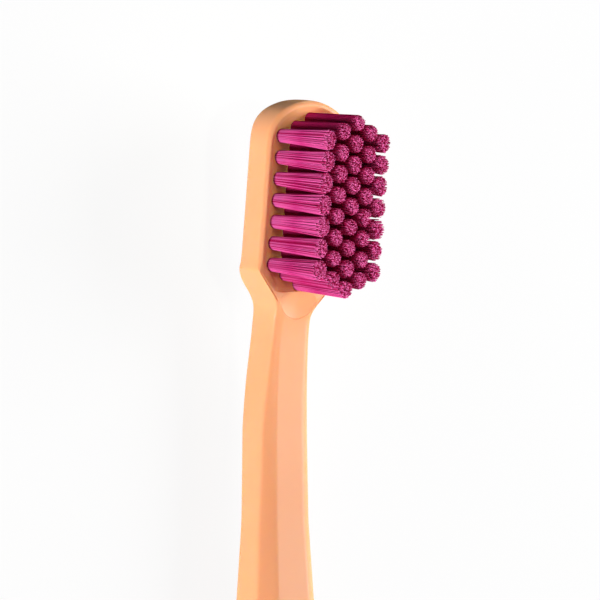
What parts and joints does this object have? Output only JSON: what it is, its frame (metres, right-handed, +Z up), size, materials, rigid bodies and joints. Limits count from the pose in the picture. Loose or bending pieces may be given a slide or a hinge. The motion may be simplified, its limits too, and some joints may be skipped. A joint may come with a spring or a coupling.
{
  "type": "manual toothbrush",
  "caption": "Manual toothbrush with a small round-tipped head, dense straight bristle tufts held by metal anchors, a slim bent neck and an eight-sided plastic handle.",
  "frame": {"origin": "on the surface that the brush lies on, under the middle of its length and width", "axes": "+X along the handle from the head's tip to the handle's end, +Y across the brush, +Z up, the way the bristles point"},
  "size_m": [0.176, 0.0116, 0.0186],
  "materials": {
    "handle_plastic": "satin injection-moulded polypropylene, peach orange, with a fine mould grain",
    "bristle_nylon": "fine round-ended filaments, magenta, slightly glossy along their length",
    "anchor_metal": "bright cut flat wire"
  },
  "bodies": {
    "root": {"brush_body": "handle_plastic", "tuft_1_1": "bristle_nylon", "tuft_1_2": "bristle_nylon", "tuft_1_3": "bristle_nylon", "tuft_1_4": "bristle_nylon", "tuft_1_5": "bristle_nylon", "tuft_1_6": "bristle_nylon", "tuft_1_7": "bristle_nylon", "tuft_2_1": "bristle_nylon", "tuft_2_2": "bristle_nylon", "tuft_2_3": "bristle_nylon", "tuft_2_4": "bristle_nylon", "tuft_2_5": "bristle_nylon", "tuft_2_6": "bristle_nylon", "tuft_2_7": "bristle_nylon", "tuft_2_8": "bristle_nylon", "tuft_3_1": "bristle_nylon", "tuft_3_2": "bristle_nylon", "tuft_3_3": "bristle_nylon", "tuft_3_4": "bristle_nylon", "tuft_3_5": "bristle_nylon", "tuft_3_6": "bristle_nylon", "tuft_3_7": "bristle_nylon", "tuft_3_8": "bristle_nylon", "tuft_3_9": "bristle_nylon", "tuft_4_1": "bristle_nylon", "tuft_4_2": "bristle_nylon", "tuft_4_3": "bristle_nylon", "tuft_4_4": "bristle_nylon", "tuft_4_5": "bristle_nylon", "tuft_4_6": "bristle_nylon", "tuft_4_7": "bristle_nylon", "tuft_4_8": "bristle_nylon", "tuft_5_1": "bristle_nylon", "tuft_5_2": "bristle_nylon", "tuft_5_3": "bristle_nylon", "tuft_5_4": "bristle_nylon", "tuft_5_5": "bristle_nylon", "tuft_5_6": "bristle_nylon", "tuft_5_7": "bristle_nylon", "anchors_column_1": "anchor_metal", "anchors_column_2": "anchor_metal", "anchors_column_3": "anchor_metal", "anchors_column_4": "anchor_metal", "anchors_column_5": "anchor_metal"}
  },
  "joints": []
}
